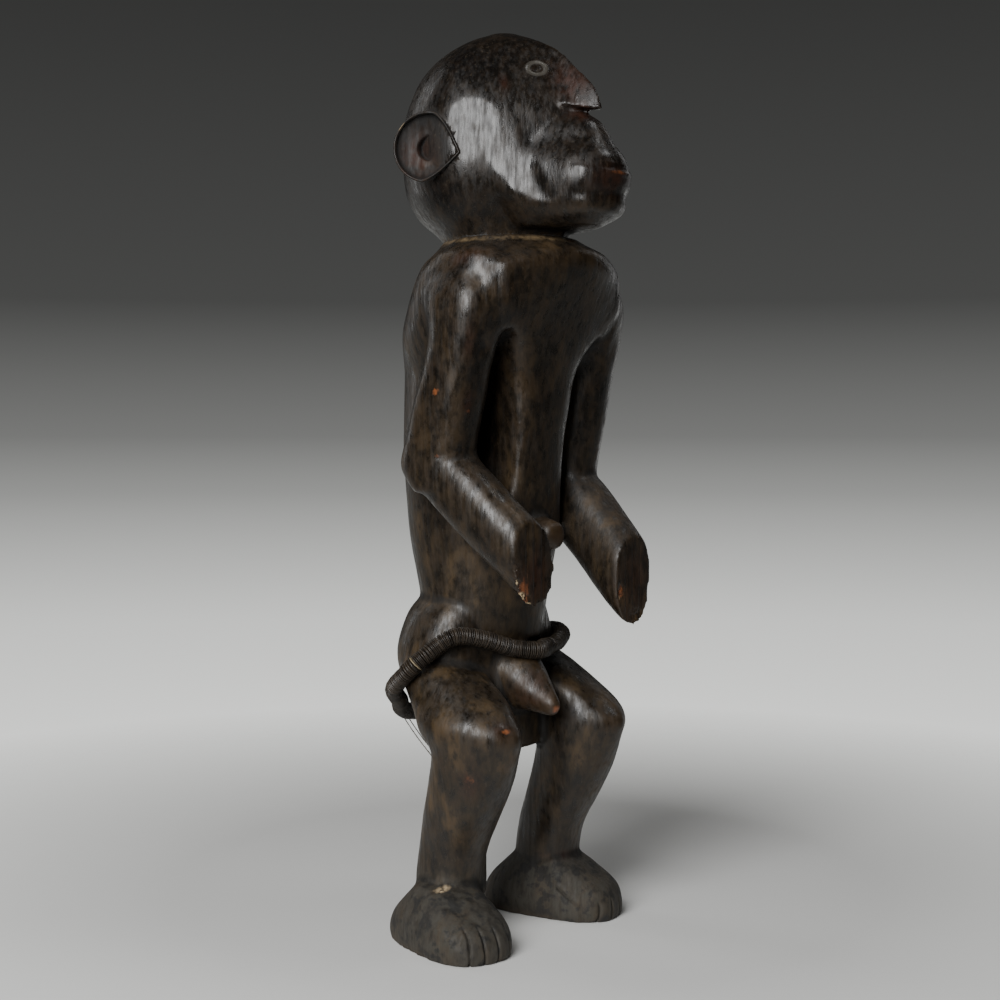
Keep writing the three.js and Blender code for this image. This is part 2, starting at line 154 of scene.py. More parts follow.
def cloudy_grain():
    """A node group: cloudy noise on object coordinates, to any scale along each axis."""
    group = bpy.data.node_groups.new("cloudy grain", "ShaderNodeTree")
    group.interface.new_socket("Scale", in_out="INPUT", socket_type="NodeSocketVector")
    group.interface.new_socket("Detail", in_out="INPUT", socket_type="NodeSocketFloat")
    group.interface.new_socket("Value", in_out="OUTPUT", socket_type="NodeSocketFloat")
    given = node(group, "NodeGroupInput").outputs
    place = node(group, "ShaderNodeTexCoord").outputs["Object"]
    mapped = node(group, "ShaderNodeMapping", {"Vector": place, "Scale": given["Scale"]})
    inputs = {"Vector": mapped.outputs["Vector"], "Scale": 1.0, "Detail": given["Detail"], "Roughness": 0.6}
    noise = node(group, "ShaderNodeTexNoise", inputs)
    node(group, "NodeGroupOutput", {"Value": noise.outputs["Fac"]})
    return group


GRAIN = cloudy_grain()


def grain(tree, size, stretch=(1, 1, 1), detail=3.0):
    """The cloudy grain at a size in metres. stretch lengthens it along an axis."""
    scale = tuple(1 / (size * s) for s in stretch)
    placed = node(tree, "ShaderNodeGroup", {"Scale": scale, "Detail": detail}, node_tree=GRAIN)
    return placed.outputs["Value"]


string_finish = new_material("grey fibre string")
tree = string_finish.node_tree
twist = grain(tree, STRING_DIAMETER, (1, 1, 0.4))
colour = blend(tree, twist, (0.04, 0.036, 0.03, 1), (0.16, 0.14, 0.11, 1))
surface(tree, {"Base Color": colour, "Roughness": 0.85})

for name, route in STRING_ENDS.items():
    line = (smooth_path(np.array(route, float), STRING_POINTS) + CENTRING) * 0.001
    data = bpy.data.curves.new(name, "CURVE")
    data.dimensions = "3D"
    data.bevel_depth = STRING_DIAMETER / 2
    data.bevel_resolution = 2
    data.use_fill_caps = True
    spline = data.splines.new("POLY")
    spline.points.add(len(line) - 1)
    spline.points.foreach_set("co", np.hstack([line, np.ones((len(line), 1))]).ravel())
    string = bpy.data.objects.new(name + "_fibre", data)
    scene.collection.objects.link(string)
    data.materials.append(string_finish)
    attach(string, "root")
    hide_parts(name)


# Figure: one block of dense hardwood, roughed out with an adze and finished with a knife, then blackened
# and polished by handling. It is built in millimetres: each limb is a skin over stations.
SIDES = (-1, 1)  # the figure's right, then its left
EYE = (19.5, -43, 653)
EYE_LOOK = (0.6, -0.66, 0.45)
EYE_CUTS = [(8.3, 0.8, 0.25), (6.6, 1.1, -0.45), (3.9, 0.9, -0.3), (0, 2.2, 0.25)]  # radius, width, lift
HAND_FRONT = -70
RIGHT_HAND = 51
LEFT_HAND = 62
LOWER_ARM_DROP = 15
LEFT_HOLLOW_OUT = 5
FOOT_SPLAY = math.radians(13)
TOE_GROOVES = (-16, -5, 7, 19)
FEET = {-1: (69, 0, 33.5, 0.87), 1: (58, 9, 31, 1)}  # from the middle, Y, half the width, share of height
SHINS = {-1: 54, 1: 57}
FACE_SLOPE = 0.9
FLANK_SLOPE = 2.1
MOUTH_HEIGHT = 574
EAR_RADIUS = 26
HEAD_GRID = 1.6
BODY_GRID = 2.5
FACES_KEPT = 0.48


def station(x, y, z, wide, front=None, back=None, square=2.3, point=None, tilt=0):
    """Sizes of one section: half its width, its depth before and behind the middle, how square it is behind
    and before, and how far its front is tipped up, in degrees.
    """
    front = wide if front is None else front
    back = wide if back is None else back
    return (x, y, z, wide, front, back, square, square if point is None else point, tilt)


def sections(stations, share):
    """Every size at each share of the way, on the curve through the stations."""
    table = np.array(stations, float)
    return curve(np.vstack([table[:1], table, table[-1:]]), np.clip(share, 0, 1) * (len(table) - 1))


def rounded(turn, sizes):
    """A squared oval with its own depth and squareness before and behind.
    x and y are powers of the turn's cosine and sine.
    """
    wide, front, back, square, point = (sizes[:, k, None] for k in range(3, 8))
    c = np.cos(turn)
    s = np.sin(turn)
    power = 2 / np.where(s > 0, point, square)
    depth = np.where(s > 0, front, -back)
    return wide * np.sign(c) * np.abs(c) ** power, depth * np.abs(s) ** power


def wedged(turn, sizes):
    """The nearer of an ellipse and a wedge at each turn, softly joined by a high power mean."""
    wide, deep, ridge, slope = (sizes[:, k, None] for k in range(3, 7))
    c = np.cos(turn)
    s = np.sin(turn)
    oval = 1 / np.hypot(c / wide, s / deep)
    lean = s + slope * np.abs(c)
    wedge = np.where(lean > 0.01, (sizes[:, 1, None] - ridge) / np.maximum(lean, 0.01), 1e4)
    reach = (oval**-9.0 + wedge**-9.0) ** (-1 / 9)
    return reach * c, reach * s


def net(rings, poles):
    """Points and faces of a closed skin: rings joined by quads, and a fan to a pole at each end."""
    rows, around = rings.shape[:2]
    i = np.arange(rows * around).reshape(rows, around)
    j = np.roll(i, -1, 1)
    faces = np.stack([i[:-1], j[:-1], j[1:], i[1:]], -1).reshape(-1, 4).tolist()
    faces += np.stack([np.full(around, rows * around), j[0], i[0]], -1).tolist()
    faces += np.stack([np.full(around, rows * around + 1), i[-1], j[-1]], -1).tolist()
    return np.vstack([rings.reshape(-1, 3), poles]), faces


def skin(stations, outline=rounded, start=0, end=0, around=80, along=120, dome=10):
    """A closed surface: the outline at each station, shrinking by a cosine to a pole at both ends."""
    step = np.arange(1, along + 2 * dome) - dome
    sizes = sections(stations, step / along)
    past = np.where(step < 0, step / dome, np.maximum(0, step - along) / dome) * np.pi / 2
    shrink = np.cos(past)[:, None]
    reach = (np.sin(past) * np.where(step < 0, start, end))[:, None]
    turn = np.linspace(0, 2 * np.pi, around, endpoint=False)[None, :]
    px, py = outline(turn, sizes)
    x, y, z = (sizes[:, k, None] for k in range(3))
    a = np.radians(sizes[:, 8, None])
    rows = [x + px * shrink, y - py * shrink * np.cos(a) - reach * np.sin(a)]
    rows.append(z + py * shrink * np.sin(a) - reach * np.cos(a))
    first, last = sections(stations, np.array([0.0, 1.0]))
    above = start * np.array([0, math.sin(math.radians(first[8])), math.cos(math.radians(first[8]))])
    below = end * np.array([0, math.sin(math.radians(last[8])), math.cos(math.radians(last[8]))])
    return net(np.stack(rows, -1), [first[:3] + above, last[:3] - below])


def solid(points, faces, name="blank"):
    """A mesh object whose faces point outwards."""
    mesh = bpy.data.meshes.new(name)
    mesh.from_pydata(points.tolist(), [], faces)
    shape = bmesh.new()
    shape.from_mesh(mesh)
    if shape.calc_volume(signed=True) < 0:
        bmesh.ops.reverse_faces(shape, faces=shape.faces)
    shape.to_mesh(mesh)
    shape.free()
    made = bpy.data.objects.new(name, mesh)
    scene.collection.objects.link(made)
    return made


def baked(piece, kind, **settings):
    """The piece's mesh with one modifier worked into it."""
    modifier = piece.modifiers.new("work", kind)
    for key, value in settings.items():
        setattr(modifier, key, value)
    bpy.context.view_layer.update()
    done = bpy.data.meshes.new_from_object(piece.evaluated_get(bpy.context.evaluated_depsgraph_get()))
    piece.modifiers.clear()
    piece.data = done
    return piece


def worked(operation, piece, *tools):
    """The piece with every tool cut away or joined on. The tools are used up."""
    for tool in tools:
        baked(piece, "BOOLEAN", operation=operation, solver="MANIFOLD", object=tool)
        bpy.data.objects.remove(tool)
    return piece


def cut_away(piece, *tools):
    """The piece less every tool."""
    return worked("DIFFERENCE", piece, *tools)


def box(low, high):
    """A plain block between two corners."""
    corners = np.array([[x, y, z] for x in (0, 1) for y in (0, 1) for z in (0, 1)], float)
    faces = [[0, 1, 3, 2], [4, 6, 7, 5], [0, 4, 5, 1], [2, 3, 7, 6], [0, 2, 6, 4], [1, 5, 7, 3]]
    return solid(np.array(low) + corners * (np.array(high) - np.array(low)), faces)


def head():
    """A round skull, its front cut to a wedge. ridge is the Y of the line where the wedge's sides meet."""
    levels = [
        (8, 686, 14, 14, -14),
        (8, 681, 28, 29, -27),
        (7, 672, 43, 49, -42),
        (6, 659, 57, 65, -54),
        (5, 644, 67, 75, -67),
        (5, 622, 75, 82, -80),
        (5, 600, 77, 84, -84),
        (5, 580, 76, 83, -83),
        (5, 563, 72, 81, -78),
        (4, 547, 64, 72, -68),
        (1, 535, 54, 60, -60),
        (0, 525, 49, 50, -52),
    ]
    stations = [(0, y, z, wide, deep, ridge, FACE_SLOPE, 0, 0) for y, z, wide, deep, ridge in levels]
    return solid(*skin(stations, wedged, start=2, end=2, around=160))


def muzzle():
    """A wedge whose flanks run back into the cheeks, less the slit of the mouth. tip is the Y of its front,
    corner is how far from the middle a flank starts, and wide is where it ends.
    """
    levels = [
        (618, -74, 7, 62),
        (611, -86, 10, 60),
        (604, -91, 12, 58),
        (595, -95, 14, 55),
        (585, -103, 17, 52),
        (577, -106.4, 19, 50),
        (569, -107.4, 21, 49),
        (557, -105, 21, 47),
        (548, -103, 20, 44),
        (541, -95, 18, 38),
        (536, -86, 14, 32),
    ]
    root = -42
    stations = []
    for z, tip, corner, wide in levels:
        stations.append((0, root, z, wide, root - tip, tip - FLANK_SLOPE * corner, FLANK_SLOPE, 0, 0))
    ends = [(-125, MOUTH_HEIGHT + 3), (-125, MOUTH_HEIGHT - 3), (-92, MOUTH_HEIGHT)]
    slit = np.array([(x, y, z) for x in (-40, 40) for y, z in ends], float)
    sides = [[0, 1, 2], [3, 5, 4], [0, 3, 4, 1], [1, 4, 5, 2], [2, 5, 3, 0]]
    return cut_away(solid(*skin(stations, wedged, start=2, end=2, around=160)), solid(slit, sides))


def nose():
    """A ridged wedge that stands out further towards its tip, less two nostrils under it."""
    levels = [
        (-24, 678, 2, 4, 0),
        (-40, 668, 5, 8, 0),
        (-54, 651, 8, 13, 0),
        (-62, 637, 11, 20, 0),
        (-65, 624, 17, 26, -14),
    ]
    ridge = [station(0, y, z, wide, front, 10, 2.3, 1.05, tilt) for y, z, wide, front, tilt in levels]
    wedge = solid(*skin(ridge, start=1, end=1, around=60, along=80, dome=4))
    nostrils = []
    for side in SIDES:
        hole = [station(side * 6, -75, z, 3.2, 4.8) for z in (618.1, 617.9)]
        nostrils.append(solid(*skin(hole, start=3.2, end=3.2, around=24, along=1, dome=8)))
    return cut_away(wedge, *nostrils)


def ear(side):
    """A thin cup on a stem: each pair of its profile is a share of the outline's size and a depth.
    The outline is round behind and drawn to a point in front.
    """
    outside = [(0.5, -20), (0.82, -12), (0.97, -2.5), (1, 0), (0.985, 0.9)]
    inside = [(0.945, 1), (0.915, -0.5), (0.88, -2.4), (0.6, -5.0), (0.4, -6.0), (0.34, -7.6), (0.3, -11.5)]
    profile = outside + inside
    fine = smooth_path(np.array(profile, float), 44)
    turn = np.linspace(0, 2 * np.pi, 72, endpoint=False)
    forward = np.maximum(0, -np.cos(turn))
    tall = np.where(forward > 0, np.sign(np.sin(turn)) * (1 - forward**1.5), np.sin(turn))
    c, s = math.cos(0.2), math.sin(0.2)
    outline = np.stack([np.cos(turn) * c - tall * s, np.cos(turn) * s + tall * c])
    flat = fine[:, 0, None, None] * EAR_RADIUS * outline.T[None]
    back = np.array([side * 0.471, 0.882, 0])
    away = np.array([side * 0.882, -0.471, 0])
    middle = np.array([side * 82, 9, 593.0])
    rings = middle + flat[..., :1] * back + flat[..., 1:] * np.array([0, 0, 1.0])
    rings = rings + fine[:, 1, None, None] * away
    return solid(*net(rings, [middle - 22 * away, middle - 13.5 * away]))


def torso():
    """A squared oval down the body: a rim under the head, round shoulders, then the chest and belly.
    A hollow under each arm leaves the chest standing forward as a plate.
    """
    levels = [
        (0, 0, 530, 50, 51, 52, 2, 2),
        (1, 0, 526, 55, 56, 55, 2, 2),
        (3, -4, 518, 70, 65, 60, 2, 2),
        (0, -8, 508, 81, 63, 61, 2.2, 2.2),
        (0, -8, 495, 84, 58, 66, 2.4, 2.5),
        (0, -5, 478, 83, 53, 70, 2.6, 3.3),
        (0, 2, 456, 77, 51, 76, 2.6, 3.3),
        (0, 10, 430, 67, 52, 76, 2.4, 2.4),
        (0, 17, 400, 64, 55, 71, 2.4, 2.4),
        (0, 24, 365, 62, 57, 64, 2.4, 2.4),
        (0, 28, 335, 60, 58, 57, 2.4, 2.4),
        (0, 30, 300, 56, 53, 52, 2.4, 2.4),
        (0, 31, 253, 50, 46, 42, 2.3, 2.3),
        (0, 31, 225, 50, 42, 42, 2.2, 2.2),
    ]
    hollow = [
        (53, -34, 448, 13, 30, 34),
        (54, -28, 428, 22, 30, 38),
        (53, -20, 400, 26, 30, 38),
        (50, -12, 370, 26, 30, 34),
        (48, -8, 345, 24, 30, 26),
        (54, -10, 318, 20, 30, 18),
    ]
    hollows = []
    for side in SIDES:
        out = LEFT_HOLLOW_OUT if side > 0 else 0
        reach = [station(side * (x + out), *rest, 2.6) for x, *rest in hollow]
        hollows.append(solid(*skin(reach, start=12, end=10, along=60)))
    return cut_away(solid(*skin([station(*sizes) for sizes in levels], around=120, along=200)), *hollows)


def navel():
    """A round knob that tapers forward from the belly."""
    rings = [(-16, 309, 15), (-32, 307, 13), (-43, 306, 11)]
    knob = [station(0, y, z, wide, tilt=88) for y, z, wide in rings]
    return solid(*skin(knob, end=6, around=48, along=24))


def pelvis():
    """A rounded seat, less a cleft that widens downwards behind."""
    levels = [
        (32, 256, 50, 38, 42),
        (33, 243, 61, 38, 49),
        (32, 215, 71, 36, 55),
        (28, 190, 69, 34, 50),
        (20, 165, 56, 30, 36),
        (12, 142, 40, 22, 26),
    ]
    block = [station(0, y, z, wide, front, back) for y, z, wide, front, back in levels]
    cleft = [station(0, 92, 228, 1, 4, 10), station(0, 92, 200, 4, 9, 20), station(0, 80, 160, 5, 12, 30)]
    return cut_away(
        solid(*skin(block, start=2, end=4, around=120)),
        solid(*skin(cleft, end=8, around=30, along=30)),
    )


def leg(side):
    """A thigh that runs forward to the bent knee, and a shin straight down from it, in one skin."""
    shin = SHINS[side]
    levels = [
        (40, 34, 230, 20, 12, 28),
        (46, 30, 214, 25, 17, 32),
        (52, 24, 200, 29, 34, 31),
        (55, 11, 186, 30, 44, 33),
        (60, -6, 171, 33, 47, 35, 2.3, 1.8),
        (60, -13, 160, 33, 48, 38, 2.3, 1.6),
        (59, -14, 147, 31, 43, 27, 2.3, 1.7),
        (shin + 3, -10, 123, 30, 35, 29, 2.3, 2),
        (shin + 2, 1, 98, 27, 32, 26),
        (shin, 11, 72, 24, 28, 24),
        (shin, 14, 48, 24, 25, 25),
        (shin, 14, 30, 24, 24, 24),
    ]
    return solid(*skin([station(side * x, *rest) for x, *rest in levels], dome=6, around=96, along=160))


def foot(side):
    """A low dome that spreads from the ankle to the ground, turned outwards by the splay."""
    x, y, wide, tall = FEET[side]
    levels = [
        (9, 53, 0.6, 18, 16),
        (5, 46, 0.72, 26, 26),
        (2, 36, 0.86, 40, 40),
        (0, 25, 0.96, 53, 53),
        (0, 12, 1, 58, 60),
        (0, 0, 0.98, 57, 60),
    ]
    dome = [station(0, middle, z * tall, wide * s, *depths, 2.4, 2.8) for middle, z, s, *depths in levels]
    points, faces = skin(dome, dome=4, around=96, along=60)
    c, s = math.cos(side * FOOT_SPLAY), math.sin(side * FOOT_SPLAY)
    points[:, :2] = points[:, :2] @ np.array([[c, s], [-s, c]]) + (side * x, y)
    return solid(points, faces)


def arm(side):
    """An upper arm down to the elbow, and a forearm held forward and cut off flat at the hand."""
    drop = LOWER_ARM_DROP if side > 0 else 0
    hand = LEFT_HAND if side > 0 else RIGHT_HAND
    under = 30 if side > 0 else 24  # the left forearm is the deeper one
    upper = [
        (58, -12, 507, 23, 36, 34, 2.2),
        (67, -16, 482, 25, 33, 31, 2.2),
        (69, -16, 456, 24, 27, 25, 2.3),
        (69, -9, 430 - drop / 3, 23, 25, 24, 2.5),
        (69, 0, 405 - drop / 2, 23, 28, 24, 2.8),
        (69, 8, 380 - drop, 22, 29, 25, 2.8),
        (69, 13, 358 - drop, 22, 30, 26, 2.8),
        (69, 8, 341 - drop, 20, 24, 18, 2.8),
    ]
    fore = [
        (69, 20, 370 - drop, 22, 16, 22, 2.8),
        ((138 + hand) / 3 + 2, -10, 344 - drop, 22, 23, under, 2.8, 2.4),
        ((69 + 2 * hand) / 3 + 2, -40, 316 - drop, 21, 23, under, 2.7, 2.3),
        (hand, -70, 288 - drop, 21, 22, under, 2.3),
        (hand, -92, 267 - drop, 20, 19, under - 3, 2.3),
    ]
    above = solid(*skin([station(side * x, *rest) for x, *rest in upper], start=16, end=4))
    below = solid(*skin([station(side * x, *rest, tilt=47) for x, *rest in fore], start=4, end=2))
    front = box((side * hand - 40, HAND_FRONT - 60, 200), (side * hand + 40, HAND_FRONT, 340))
    return [above, cut_away(below, front)]


def sheath():
    """A cone that points forward and down, with a blunt ridge along its top."""
    levels = [(4, 209, 24, 20, 42), (-13, 198, 21, 18, 30), (-29, 186, 14, 13, 17), (-44, 176, 6, 7, 8)]
    cone = [station(0, y, z, wide, front, back, 2.6, 1.5, 62) for y, z, wide, front, back in levels]
    return solid(*skin(cone, start=2, end=4, around=60, along=60))


def ankle_strip():
    """The thin strip of wood left standing on the inner side of the right ankle."""
    strip = [station(-34.5, 0, z, wide, 5.5, 5) for z, wide in [(70, 1.5), (60, 3), (34, 3)]]
    return solid(*skin(strip, around=30, along=30, dome=4))


def fused(name, lumps, grid):
    """One closed skin round all the lumps, on an even grid of the given size."""
    heap = bmesh.new()
    for lump in lumps:
        heap.from_mesh(lump.data)
        bpy.data.objects.remove(lump)
    whole = bpy.data.meshes.new(name)
    heap.to_mesh(whole)
    heap.free()
    made = bpy.data.objects.new(name, whole)
    scene.collection.objects.link(made)
    return baked(made, "REMESH", mode="VOXEL", voxel_size=grid)


# The fused skins are smoothed, then worked point by point.
def points_of(mesh):
    """Every point of the mesh as an array."""
    flat = np.empty(len(mesh.vertices) * 3)
    mesh.vertices.foreach_get("co", flat)
    return flat.reshape(-1, 3)


def normals_of(mesh):
    """The surface's direction at every point."""
    flat = np.empty(len(mesh.vertices) * 3)
    mesh.vertex_normals.foreach_get("vector", flat)
    return flat.reshape(-1, 3)


def edges_of(mesh):
    """The two ends of every edge."""
    flat = np.empty(len(mesh.edges) * 2, np.int32)
    mesh.edges.foreach_get("vertices", flat)
    return flat.reshape(-1, 2)


def relaxed(values, edges, rates):
    """Each value moves towards the mean of its neighbours by each rate in turn."""
    count = np.bincount(edges.ravel(), minlength=len(values))[:, None]
    for rate in rates:
        total = np.zeros_like(values)
        for k in range(values.shape[1]):
            total[:, k] = np.bincount(edges[:, 0], values[edges[:, 1], k], len(values))
            total[:, k] += np.bincount(edges[:, 1], values[edges[:, 0], k], len(values))
        values = values + rate * (total / count - values)
    return values


def eased(points, edges, share, passes):
    """The points, each moved by its share towards where so many passes of smoothing would bring it."""
    return points + np.clip(share, 0, 1)[:, None] * (relaxed(points, edges, [0.5] * passes) - points)


def near(points, place, reach):
    """1 at the place, falling to 0 away from it as a bell. The reach may differ by axis."""
    return np.exp(-((points - np.array(place)) ** 2 / np.array(reach) ** 2).sum(1))


def rise(low, high, value):
    """0 below low, 1 above high, and smooth between."""
    t = np.clip((value - low) / (high - low), 0, 1)
    return t * t * (3 - 2 * t)


def beside(points, line):
    """The distance to a line of straight pieces through the given places."""
    line = np.array(line, float)
    best = np.full(len(points), 1e9)
    for a, b in zip(line[:-1], line[1:]):
        share = np.clip((points - a) @ (b - a) / ((b - a) @ (b - a)), 0, 1)
        best = np.minimum(best, np.linalg.norm(points - a - share[:, None] * (b - a), axis=1))
    return best


def smooth(piece, passes):
    """Evens out the steps of the grid without shrinking the piece."""
    even = relaxed(points_of(piece.data), edges_of(piece.data), [0.6, -0.4] * passes)
    piece.data.vertices.foreach_set("co", even.ravel())
    return piece


def refine(mesh, wanted):
    """Halves the edges between points that are wanted."""
    work = bmesh.new()
    work.from_mesh(mesh)
    work.verts.ensure_lookup_table()
    edges = [e for e in work.edges if wanted[e.verts[0].index] and wanted[e.verts[1].index]]
    bmesh.ops.subdivide_edges(work, edges=edges, cuts=1, use_grid_fill=True)
    work.to_mesh(mesh)
    work.free()


def mirrored(points):
    """The points with the figure's right side folded over its left."""
    return np.column_stack([np.abs(points[:, 0]), points[:, 1], points[:, 2]])


body_lumps = [torso(), navel(), pelvis(), sheath(), ankle_strip()]
for side in SIDES:
    body_lumps += [leg(side), foot(side), *arm(side)]
skull = smooth(fused("skull", [head(), muzzle(), nose()], HEAD_GRID), 4)
carving = smooth(fused("carved_figure", body_lumps, BODY_GRID), 5)


# Each cheek is pared flat from the temple down to the mouth: this flat catches the light.
def pared(points, place, facing, share, fill=0.0):
    """Moves points onto the plane through the place by their share. Hollow ones rise by fill at most."""
    facing = np.array(facing, float)
    facing /= np.linalg.norm(facing)
    above = (points - np.array(place)) @ facing
    move = np.where(above > 0, above, np.maximum(above, -fill))
    return points - (share * move)[:, None] * facing


spots = points_of(skull.data)
side_of = np.where(spots[:, 0] < 0, -1, 1)
folded = mirrored(spots)
along = -0.49 * folded[:, 0] - 0.87 * folded[:, 1]
slant = (along - 3) * 0.882 + (folded[:, 2] - 628) * 0.472
loose = near(folded, (38, -62, 588), (22, 26, 17)) + near(folded, (0, -92, 604), (14, 16, 12))
folded = eased(folded, edges_of(skull.data), loose, 70)
height = folded[:, 2]
inside = rise(549, 558, height) * rise(6, -6, slant) * rise(62, 50, along + 0.25 * (height - 565))
hollow = 3.5 * np.maximum(rise(8, 26, along), 1.4 * rise(602, 580, height) * rise(-6, 8, along))
folded = pared(folded, (49.9, -41.6, 575), (0.80, -0.592, 0.085), inside, hollow)
round_it = near(folded, (54, -34, 590), (30, 44, 52))
folded = eased(folded, edges_of(skull.data), 2 * round_it, 14)
folded[:, 0] = np.abs(folded[:, 0]) * side_of
skull.data.vertices.foreach_set("co", folded.ravel())

worked("UNION", skull, ear(-1), ear(1))
worked("UNION", carving, skull)
mesh = carving.data

spots = points_of(mesh)
folded = mirrored(spots)
detailed = near(folded, (12, -66, 640), (24, 45, 38)) > 0.4
detailed |= near(folded, (16, -90, 574), (32, 40, 20)) > 0.4
detailed |= (spots[:, 1] < HAND_FRONT + 6) & (spots[:, 2] < 324) & (spots[:, 2] > 235)
detailed |= (spots[:, 1] < -14) & (spots[:, 2] < 44)
detailed |= near(spots, (-82, -4, 46), (20, 20, 12)) > 0.4
refine(mesh, detailed)

spots = points_of(mesh)
folded = mirrored(spots)
finest = near(folded, EYE, 14) > 0.45
finest |= (spots[:, 1] < HAND_FRONT + 2) & (spots[:, 2] < 318) & (spots[:, 2] > 238)
finest |= (spots[:, 1] < -34) & (spots[:, 2] < 30)
refine(mesh, finest)

# The edge between the belly and the hollow beside it is rubbed round, and the left knee has a small flat.
spots = points_of(mesh)
soft = near(mirrored(spots), (40, -32, 395), (24, 26, 75))
spots = eased(spots, edges_of(mesh), 1.6 * soft, 40)
centre = np.array((50, -49, 171), float)
facing = np.array((-0.3, -0.68, 0.67))
inside = rise(26, 8, np.linalg.norm(spots - centre, axis=1))
spots = pared(spots, centre - 0.7 * facing, facing, inside)
mesh.vertices.foreach_set("co", spots.ravel())
mesh.update()

spots = points_of(mesh)
facing = normals_of(mesh)
edges = edges_of(mesh)
folded = mirrored(spots)
side_of = np.sign(spots[:, 0])
height = spots[:, 2]
lift = np.zeros(len(spots))

# Knife lines: each is a line on the skin, its reach and how far it stands out or is sunk.
both_sides = [
    ([(62, -53, 500), (63, -51, 480)], 8, 1.4),  # the chest's corner
    ([(4, -47, 664), (7, -58, 648), (11, -68, 633), (15, -73, 625)], 4.5, -1.2),  # beside the nose
    ([(16, -70, 622), (8, -81, 621), (2, -88, 621)], 1.4, 0.6),  # the nose's lower edge
    ([(0, -108, 577.5), (12, -105, 577.5), (22, -98, 576.5), (29, -88, 574)], 1.5, 0.5),  # upper lip
    ([(0, -108, 570.5), (12, -105, 570.5), (22, -98, 571.5), (29, -88, 574)], 2.0, 0.7),  # lower lip
    ([(0, -105, 556), (14, -101, 555), (26, -90, 556)], 4.5, -1.3),  # under the lower lip
    ([(0, -100, 545), (17, -93, 545), (28, -62, 545)], 4.5, 1.2),  # along the jaw
    ([(89, -8, 366), (78, -18, 371), (58, -17, 371)], 1.6, -0.8),  # inside the elbow
]
one_side = [
    ([(-78, -40, 494), (-76, -43, 482), (-74, -42, 464), (-72, -40, 446)], 8, -2.8),  # the armpit line
    ([(76, -41, 500), (75, -42, 470), (72, -40, 446)], 8, -1.2),  # the left one
    ([(-103, -24, 25), (-104, -37, 15), (-97, -50, 7)], 3, 1.1),  # fold of the right foot
    ([(35, -13, 30), (37, -24, 22), (41, -33, 15)], 1.8, 1.0),  # fold of the left foot
    ([(33, -16, 26), (35, -27, 18), (38, -36, 11)], 2.2, -1.0),
    ([(-99, 22, 30), (-99, 20, 14), (-100, 18, 4)], 2.5, -0.9),
    ([(-90, -20, 37), (-84, -34, 32), (-80, -44, 28)], 4, -1.1),
    ([(-75, -22, 38), (-70, -34, 33), (-66, -44, 27)], 4, 0.9),
    ([(-78, 27, 65), (-82, 5, 61), (-74, -12, 60)], 1.2, -0.5),  # a crack round the ankle
]
for points, lines in ((folded, both_sides), (spots, one_side)):
    for line, reach, much in lines:
        lift += much * np.exp(-((beside(points, line) / reach) ** 2))

# Eyes: a pupil inside a cut ring.
eye_look = np.array(EYE_LOOK) / np.linalg.norm(EYE_LOOK)
eye_right = np.cross([0, 0, 1], eye_look)
eye_right /= np.linalg.norm(eye_right)
eye_up = np.cross(eye_look, eye_right)
from_eye = folded - EYE
eye_far = np.hypot(from_eye @ eye_right, (from_eye @ eye_up) / 0.9)
eye_zone = near(folded, EYE, 16)
cuts = sum(much * np.exp(-(((eye_far - radius) / wide) ** 2)) for radius, wide, much in EYE_CUTS)
lift += eye_zone * cuts

# Fingers and toes: cut lines on the flat front of each hand, and short ones up from the ground.
for side in SIDES:
    hand = side * (LEFT_HAND if side > 0 else RIGHT_HAND)
    on_front = rise(-66, -69.5, spots[:, 1]) * (side_of == side) * (height < 330)
    for across_hand in (-8.5, 0, 8.5):
        lift -= 0.4 * on_front * np.exp(-(((spots[:, 0] - hand - across_hand) / 0.7) ** 2))
    x, y, wide, tall = FEET[side]
    c, s = math.cos(side * FOOT_SPLAY), math.sin(side * FOOT_SPLAY)
    local = (spots[:, :2] - (side * x, y)) @ np.array([[c, -s], [s, c]])
    top = 28 if side < 0 else 19
    on_toes = rise(-30, -38, local[:, 1]) * rise(top, top - 7, height) * (side_of == side)
    for groove in TOE_GROOVES:
        wave = 0.5 * np.sin(height / 6 + groove)
        lift -= 1.7 * on_toes * np.exp(-(((local[:, 0] + side * groove - wave) / 1.0) ** 2))
lift += 3.0 * near(folded, (26, -91, 568), (13, 18, 26))  # the muzzle's flank is full
lift += 2.2 * near(folded, (66, -50, 464), (16, 16, 24))  # so is the chest beside the arm
spots = spots + facing * lift[:, None]


# Tool marks are shallow scoops side by side, longer down the figure than across it. Chips are rough.
def scoops(points, size, seed):
    """Bowls round centres scattered one to a cell: the height is the squared distance to the nearest."""
    cells = points / np.array(size)
    corner = np.floor(cells).astype(np.int64)
    best = np.full(len(points), 9.0)
    for shift in np.ndindex(3, 3, 3):
        cell = corner + np.array(shift) - 1
        mixed = cell @ np.array([73856093, 19349663, 83492791]) + seed
        scatter = np.stack([(np.sin(mixed * k) * 43758.5453) % 1 for k in (0.0129, 0.0781, 0.0377)], 1)
        best = np.minimum(best, ((cells - cell - scatter) ** 2).sum(1))
    return best


def spread(points, places):
    """The sum of a bell for each place, given its middle, reach and height."""
    return sum(much * near(points, place, reach) for place, reach, much in places)


